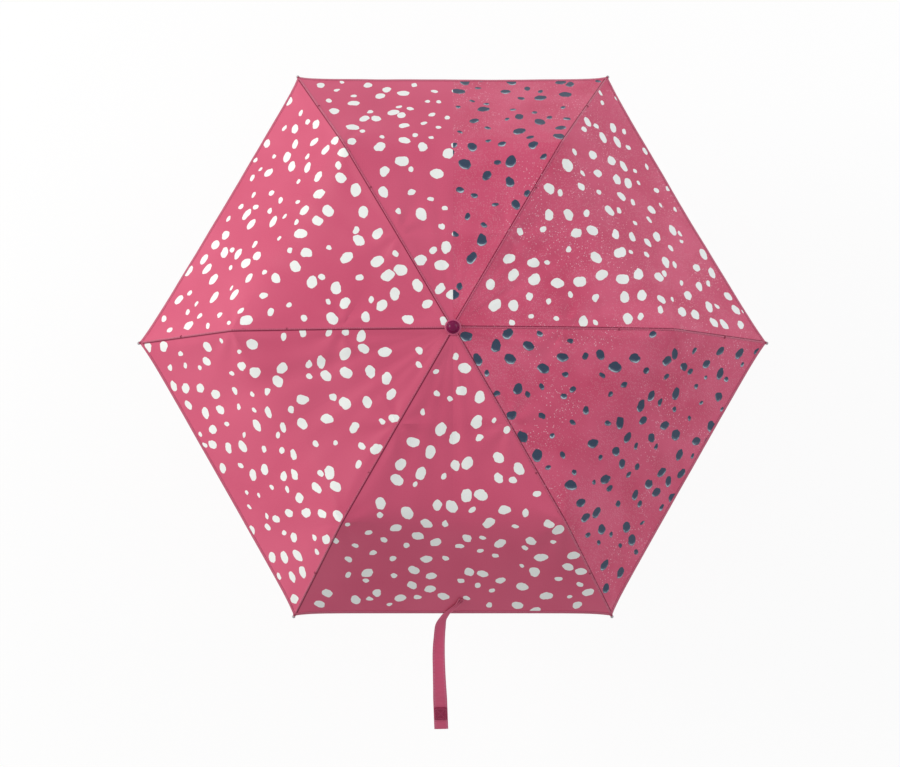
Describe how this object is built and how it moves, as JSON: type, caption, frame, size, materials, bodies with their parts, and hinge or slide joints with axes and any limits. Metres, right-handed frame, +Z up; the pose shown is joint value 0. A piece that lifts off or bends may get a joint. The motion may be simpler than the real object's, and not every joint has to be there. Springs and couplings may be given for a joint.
{
  "type": "folding umbrella",
  "caption": "Open folding umbrella for a child: six-sided spotted canopy on hinged ribs, a telescoping shaft with a runner, a round grip and a closure strap.",
  "frame": {"origin": "on the shaft's axis, at the lower end of the round grip", "axes": "+Z up the shaft towards the ferrule, rib 1 points along +X, the closure strap hangs on the -Y side"},
  "size_m": [0.9, 0.9362, 0.5151],
  "materials": {
    "grip_plastic": "soft-touch moulded, raspberry",
    "dark_plastic": "moulded, fine texture",
    "cap_plastic": "glossy moulded dome, raspberry",
    "tube_steel": "plated steel tube",
    "rib_steel": "pressed and plated steel",
    "rod": "coated rod, grey",
    "spring_steel": "spring wire and clips",
    "canopy_cloth": "woven pongee with an irregular printed spot",
    "strap_tape": "woven tape",
    "patch_cloth": "stitched hook-and-loop patch"
  },
  "bodies": {
    "handle": {"handle_grip": "grip_plastic", "handle_end_cap": "grip_plastic", "lower_tube": "tube_steel", "lower_lock": "spring_steel"},
    "middle_shaft": {"middle_tube": "tube_steel", "middle_lock": "spring_steel"},
    "upper_shaft": {"upper_tube": "tube_steel", "runner_catch": "spring_steel", "top_notch": "dark_plastic", "notch_wire": "spring_steel", "ferrule_washer": "cap_plastic", "ferrule_cap": "cap_plastic"},
    "runner": {"runner": "dark_plastic", "runner_wire": "spring_steel"},
    "top_rib_1": {"top_rib_1": "rib_steel", "canopy_gore_1": "canopy_cloth"},
    "stretcher_1": {"stretcher_1": "rib_steel"},
    "link_bar_1": {"link_bar_1": "spring_steel"},
    "middle_rib_1": {"middle_rib_1": "rib_steel"},
    "pull_wire_1": {"pull_wire_1": "spring_steel"},
    "outer_rib_1": {"outer_rib_1": "rod"},
    "top_rib_2": {"top_rib_2": "rib_steel", "canopy_gore_2": "canopy_cloth"},
    "stretcher_2": {"stretcher_2": "rib_steel"},
    "link_bar_2": {"link_bar_2": "spring_steel"},
    "middle_rib_2": {"middle_rib_2": "rib_steel"},
    "pull_wire_2": {"pull_wire_2": "spring_steel"},
    "outer_rib_2": {"outer_rib_2": "rod"},
    "top_rib_3": {"top_rib_3": "rib_steel", "canopy_gore_3": "canopy_cloth"},
    "stretcher_3": {"stretcher_3": "rib_steel"},
    "link_bar_3": {"link_bar_3": "spring_steel"},
    "middle_rib_3": {"middle_rib_3": "rib_steel"},
    "pull_wire_3": {"pull_wire_3": "spring_steel"},
    "outer_rib_3": {"outer_rib_3": "rod"},
    "top_rib_4": {"top_rib_4": "rib_steel", "canopy_gore_4": "canopy_cloth"},
    "stretcher_4": {"stretcher_4": "rib_steel"},
    "link_bar_4": {"link_bar_4": "spring_steel"},
    "middle_rib_4": {"middle_rib_4": "rib_steel"},
    "pull_wire_4": {"pull_wire_4": "spring_steel"},
    "outer_rib_4": {"outer_rib_4": "rod"},
    "top_rib_5": {"top_rib_5": "rib_steel", "canopy_gore_5": "canopy_cloth"},
    "stretcher_5": {"stretcher_5": "rib_steel"},
    "link_bar_5": {"link_bar_5": "spring_steel"},
    "middle_rib_5": {"middle_rib_5": "rib_steel"},
    "pull_wire_5": {"pull_wire_5": "spring_steel"},
    "outer_rib_5": {"outer_rib_5": "rod"},
    "top_rib_6": {"top_rib_6": "rib_steel", "canopy_gore_6": "canopy_cloth"},
    "stretcher_6": {"stretcher_6": "rib_steel"},
    "link_bar_6": {"link_bar_6": "spring_steel"},
    "middle_rib_6": {"middle_rib_6": "rib_steel"},
    "pull_wire_6": {"pull_wire_6": "spring_steel"},
    "outer_rib_6": {"outer_rib_6": "rod"},
    "strap": {"closure_strap": "strap_tape", "strap_patch": "patch_cloth"}
  },
  "joints": [
    {"name": "lower_slide", "type": "slide", "parent": "handle", "child": "middle_shaft", "axis": [0, 0, -1], "range_m": [0, 0.11], "deforming": ["lower_lock"]},
    {"name": "middle_slide", "type": "slide", "parent": "middle_shaft", "child": "upper_shaft", "axis": [0, 0, -1], "range_m": [0, 0.14], "deforming": ["middle_lock"]},
    {"name": "fold", "type": "slide", "parent": "upper_shaft", "child": "runner", "axis": [0, 0, -1], "range_m": [0, 0.0921], "deforming": ["runner_catch", "canopy_gore_1", "canopy_gore_2", "canopy_gore_3", "canopy_gore_4", "canopy_gore_5", "canopy_gore_6"]},
    {"name": "top_rib_hinge_1", "type": "hinge", "parent": "upper_shaft", "child": "top_rib_1", "pos_m": [0.009, 0, 0.492], "axis": [0, -1, 0], "range_deg": [-84.3, 0]},
    {"name": "stretcher_hinge_1", "type": "hinge", "parent": "runner", "child": "stretcher_1", "pos_m": [0.009, 0, 0.44024], "axis": [0, -1, 0], "range_deg": [0, 51.06]},
    {"name": "link_bar_hinge_1", "type": "hinge", "parent": "stretcher_1", "child": "link_bar_1", "pos_m": [0.06331, 0, 0.48115], "axis": [0, -1, 0], "range_deg": [-131.46, 0]},
    {"name": "knee_1", "type": "hinge", "parent": "top_rib_1", "child": "middle_rib_1", "pos_m": [0.15, 0, 0.484], "axis": [0, -1, 0], "range_deg": [0, 179.52]},
    {"name": "pull_wire_hinge_1", "type": "hinge", "parent": "top_rib_1", "child": "pull_wire_1", "pos_m": [0.14484, 0, 0.48183], "axis": [0, -1, 0], "range_deg": [0, 181.77]},
    {"name": "crease_1", "type": "hinge", "parent": "middle_rib_1", "child": "outer_rib_1", "pos_m": [0.3, 0, 0.465], "axis": [0, -1, 0], "range_deg": [-140.49, 0]},
    {"name": "top_rib_hinge_2", "type": "hinge", "parent": "upper_shaft", "child": "top_rib_2", "pos_m": [0.0045, 0.00779, 0.492], "axis": [0.866, -0.5, 0], "range_deg": [-84.3, 0]},
    {"name": "stretcher_hinge_2", "type": "hinge", "parent": "runner", "child": "stretcher_2", "pos_m": [0.0045, 0.00779, 0.44024], "axis": [0.866, -0.5, 0], "range_deg": [0, 51.06]},
    {"name": "link_bar_hinge_2", "type": "hinge", "parent": "stretcher_2", "child": "link_bar_2", "pos_m": [0.03166, 0.05483, 0.48115], "axis": [0.866, -0.5, 0], "range_deg": [-131.46, 0]},
    {"name": "knee_2", "type": "hinge", "parent": "top_rib_2", "child": "middle_rib_2", "pos_m": [0.075, 0.1299, 0.484], "axis": [0.866, -0.5, 0], "range_deg": [0, 179.52]},
    {"name": "pull_wire_hinge_2", "type": "hinge", "parent": "top_rib_2", "child": "pull_wire_2", "pos_m": [0.07242, 0.12543, 0.48183], "axis": [0.866, -0.5, 0], "range_deg": [0, 181.77]},
    {"name": "crease_2", "type": "hinge", "parent": "middle_rib_2", "child": "outer_rib_2", "pos_m": [0.15, 0.25981, 0.465], "axis": [0.866, -0.5, 0], "range_deg": [-140.49, 0]},
    {"name": "top_rib_hinge_3", "type": "hinge", "parent": "upper_shaft", "child": "top_rib_3", "pos_m": [-0.0045, 0.00779, 0.492], "axis": [0.866, 0.5, 0], "range_deg": [-84.3, 0]},
    {"name": "stretcher_hinge_3", "type": "hinge", "parent": "runner", "child": "stretcher_3", "pos_m": [-0.0045, 0.00779, 0.44024], "axis": [0.866, 0.5, 0], "range_deg": [0, 51.06]},
    {"name": "link_bar_hinge_3", "type": "hinge", "parent": "stretcher_3", "child": "link_bar_3", "pos_m": [-0.03166, 0.05483, 0.48115], "axis": [0.866, 0.5, 0], "range_deg": [-131.46, 0]},
    {"name": "knee_3", "type": "hinge", "parent": "top_rib_3", "child": "middle_rib_3", "pos_m": [-0.075, 0.1299, 0.484], "axis": [0.866, 0.5, 0], "range_deg": [0, 179.52]},
    {"name": "pull_wire_hinge_3", "type": "hinge", "parent": "top_rib_3", "child": "pull_wire_3", "pos_m": [-0.07242, 0.12543, 0.48183], "axis": [0.866, 0.5, 0], "range_deg": [0, 181.77]},
    {"name": "crease_3", "type": "hinge", "parent": "middle_rib_3", "child": "outer_rib_3", "pos_m": [-0.15, 0.25981, 0.465], "axis": [0.866, 0.5, 0], "range_deg": [-140.49, 0]},
    {"name": "top_rib_hinge_4", "type": "hinge", "parent": "upper_shaft", "child": "top_rib_4", "pos_m": [-0.009, 0, 0.492], "axis": [0, 1, 0], "range_deg": [-84.3, 0]},
    {"name": "stretcher_hinge_4", "type": "hinge", "parent": "runner", "child": "stretcher_4", "pos_m": [-0.009, 0, 0.44024], "axis": [0, 1, 0], "range_deg": [0, 51.06]},
    {"name": "link_bar_hinge_4", "type": "hinge", "parent": "stretcher_4", "child": "link_bar_4", "pos_m": [-0.06331, 0, 0.48115], "axis": [0, 1, 0], "range_deg": [-131.46, 0]},
    {"name": "knee_4", "type": "hinge", "parent": "top_rib_4", "child": "middle_rib_4", "pos_m": [-0.15, 0, 0.484], "axis": [0, 1, 0], "range_deg": [0, 179.52]},
    {"name": "pull_wire_hinge_4", "type": "hinge", "parent": "top_rib_4", "child": "pull_wire_4", "pos_m": [-0.14484, 0, 0.48183], "axis": [0, 1, 0], "range_deg": [0, 181.77]},
    {"name": "crease_4", "type": "hinge", "parent": "middle_rib_4", "child": "outer_rib_4", "pos_m": [-0.3, 0, 0.465], "axis": [0, 1, 0], "range_deg": [-140.49, 0]},
    {"name": "top_rib_hinge_5", "type": "hinge", "parent": "upper_shaft", "child": "top_rib_5", "pos_m": [-0.0045, -0.00779, 0.492], "axis": [-0.866, 0.5, 0], "range_deg": [-84.3, 0]},
    {"name": "stretcher_hinge_5", "type": "hinge", "parent": "runner", "child": "stretcher_5", "pos_m": [-0.0045, -0.00779, 0.44024], "axis": [-0.866, 0.5, 0], "range_deg": [0, 51.06]},
    {"name": "link_bar_hinge_5", "type": "hinge", "parent": "stretcher_5", "child": "link_bar_5", "pos_m": [-0.03166, -0.05483, 0.48115], "axis": [-0.866, 0.5, 0], "range_deg": [-131.46, 0]},
    {"name": "knee_5", "type": "hinge", "parent": "top_rib_5", "child": "middle_rib_5", "pos_m": [-0.075, -0.1299, 0.484], "axis": [-0.866, 0.5, 0], "range_deg": [0, 179.52]},
    {"name": "pull_wire_hinge_5", "type": "hinge", "parent": "top_rib_5", "child": "pull_wire_5", "pos_m": [-0.07242, -0.12543, 0.48183], "axis": [-0.866, 0.5, 0], "range_deg": [0, 181.77]},
    {"name": "crease_5", "type": "hinge", "parent": "middle_rib_5", "child": "outer_rib_5", "pos_m": [-0.15, -0.25981, 0.465], "axis": [-0.866, 0.5, 0], "range_deg": [-140.49, 0]},
    {"name": "top_rib_hinge_6", "type": "hinge", "parent": "upper_shaft", "child": "top_rib_6", "pos_m": [0.0045, -0.00779, 0.492], "axis": [-0.866, -0.5, 0], "range_deg": [-84.3, 0]},
    {"name": "stretcher_hinge_6", "type": "hinge", "parent": "runner", "child": "stretcher_6", "pos_m": [0.0045, -0.00779, 0.44024], "axis": [-0.866, -0.5, 0], "range_deg": [0, 51.06]},
    {"name": "link_bar_hinge_6", "type": "hinge", "parent": "stretcher_6", "child": "link_bar_6", "pos_m": [0.03166, -0.05483, 0.48115], "axis": [-0.866, -0.5, 0], "range_deg": [-131.46, 0]},
    {"name": "knee_6", "type": "hinge", "parent": "top_rib_6", "child": "middle_rib_6", "pos_m": [0.075, -0.1299, 0.484], "axis": [-0.866, -0.5, 0], "range_deg": [0, 179.52]},
    {"name": "pull_wire_hinge_6", "type": "hinge", "parent": "top_rib_6", "child": "pull_wire_6", "pos_m": [0.07242, -0.12543, 0.48183], "axis": [-0.866, -0.5, 0], "range_deg": [0, 181.77]},
    {"name": "crease_6", "type": "hinge", "parent": "middle_rib_6", "child": "outer_rib_6", "pos_m": [0.15, -0.25981, 0.465], "axis": [-0.866, -0.5, 0], "range_deg": [-140.49, 0]},
    {"name": "strap_swing", "type": "hinge", "parent": "outer_rib_5", "child": "strap", "pos_m": [0, 0, 0.74932], "axis": [0, 0.7336, -0.6795], "range_deg": [0, 20.17]}
  ],
  "couplings": [
    {"joint": "top_rib_hinge_1", "follows": "fold", "rad_per_m": -15.966},
    {"joint": "stretcher_hinge_1", "follows": "fold", "rad_per_m": 9.6662},
    {"joint": "link_bar_hinge_1", "follows": "fold", "rad_per_m": -24.902},
    {"joint": "knee_1", "follows": "fold", "rad_per_m": 34.011},
    {"joint": "pull_wire_hinge_1", "follows": "fold", "rad_per_m": 34.436},
    {"joint": "crease_1", "follows": "fold", "rad_per_m": -26.615},
    {"joint": "top_rib_hinge_2", "follows": "fold", "rad_per_m": -15.966},
    {"joint": "stretcher_hinge_2", "follows": "fold", "rad_per_m": 9.6662},
    {"joint": "link_bar_hinge_2", "follows": "fold", "rad_per_m": -24.902},
    {"joint": "knee_2", "follows": "fold", "rad_per_m": 34.011},
    {"joint": "pull_wire_hinge_2", "follows": "fold", "rad_per_m": 34.436},
    {"joint": "crease_2", "follows": "fold", "rad_per_m": -26.615},
    {"joint": "top_rib_hinge_3", "follows": "fold", "rad_per_m": -15.966},
    {"joint": "stretcher_hinge_3", "follows": "fold", "rad_per_m": 9.6662},
    {"joint": "link_bar_hinge_3", "follows": "fold", "rad_per_m": -24.902},
    {"joint": "knee_3", "follows": "fold", "rad_per_m": 34.011},
    {"joint": "pull_wire_hinge_3", "follows": "fold", "rad_per_m": 34.436},
    {"joint": "crease_3", "follows": "fold", "rad_per_m": -26.615},
    {"joint": "top_rib_hinge_4", "follows": "fold", "rad_per_m": -15.966},
    {"joint": "stretcher_hinge_4", "follows": "fold", "rad_per_m": 9.6662},
    {"joint": "link_bar_hinge_4", "follows": "fold", "rad_per_m": -24.902},
    {"joint": "knee_4", "follows": "fold", "rad_per_m": 34.011},
    {"joint": "pull_wire_hinge_4", "follows": "fold", "rad_per_m": 34.436},
    {"joint": "crease_4", "follows": "fold", "rad_per_m": -26.615},
    {"joint": "top_rib_hinge_5", "follows": "fold", "rad_per_m": -15.966},
    {"joint": "stretcher_hinge_5", "follows": "fold", "rad_per_m": 9.6662},
    {"joint": "link_bar_hinge_5", "follows": "fold", "rad_per_m": -24.902},
    {"joint": "knee_5", "follows": "fold", "rad_per_m": 34.011},
    {"joint": "pull_wire_hinge_5", "follows": "fold", "rad_per_m": 34.436},
    {"joint": "crease_5", "follows": "fold", "rad_per_m": -26.615},
    {"joint": "top_rib_hinge_6", "follows": "fold", "rad_per_m": -15.966},
    {"joint": "stretcher_hinge_6", "follows": "fold", "rad_per_m": 9.6662},
    {"joint": "link_bar_hinge_6", "follows": "fold", "rad_per_m": -24.902},
    {"joint": "knee_6", "follows": "fold", "rad_per_m": 34.011},
    {"joint": "pull_wire_hinge_6", "follows": "fold", "rad_per_m": 34.436},
    {"joint": "crease_6", "follows": "fold", "rad_per_m": -26.615},
    {"joint": "strap_swing", "follows": "fold", "rad_per_m": 3.8132}
  ]
}
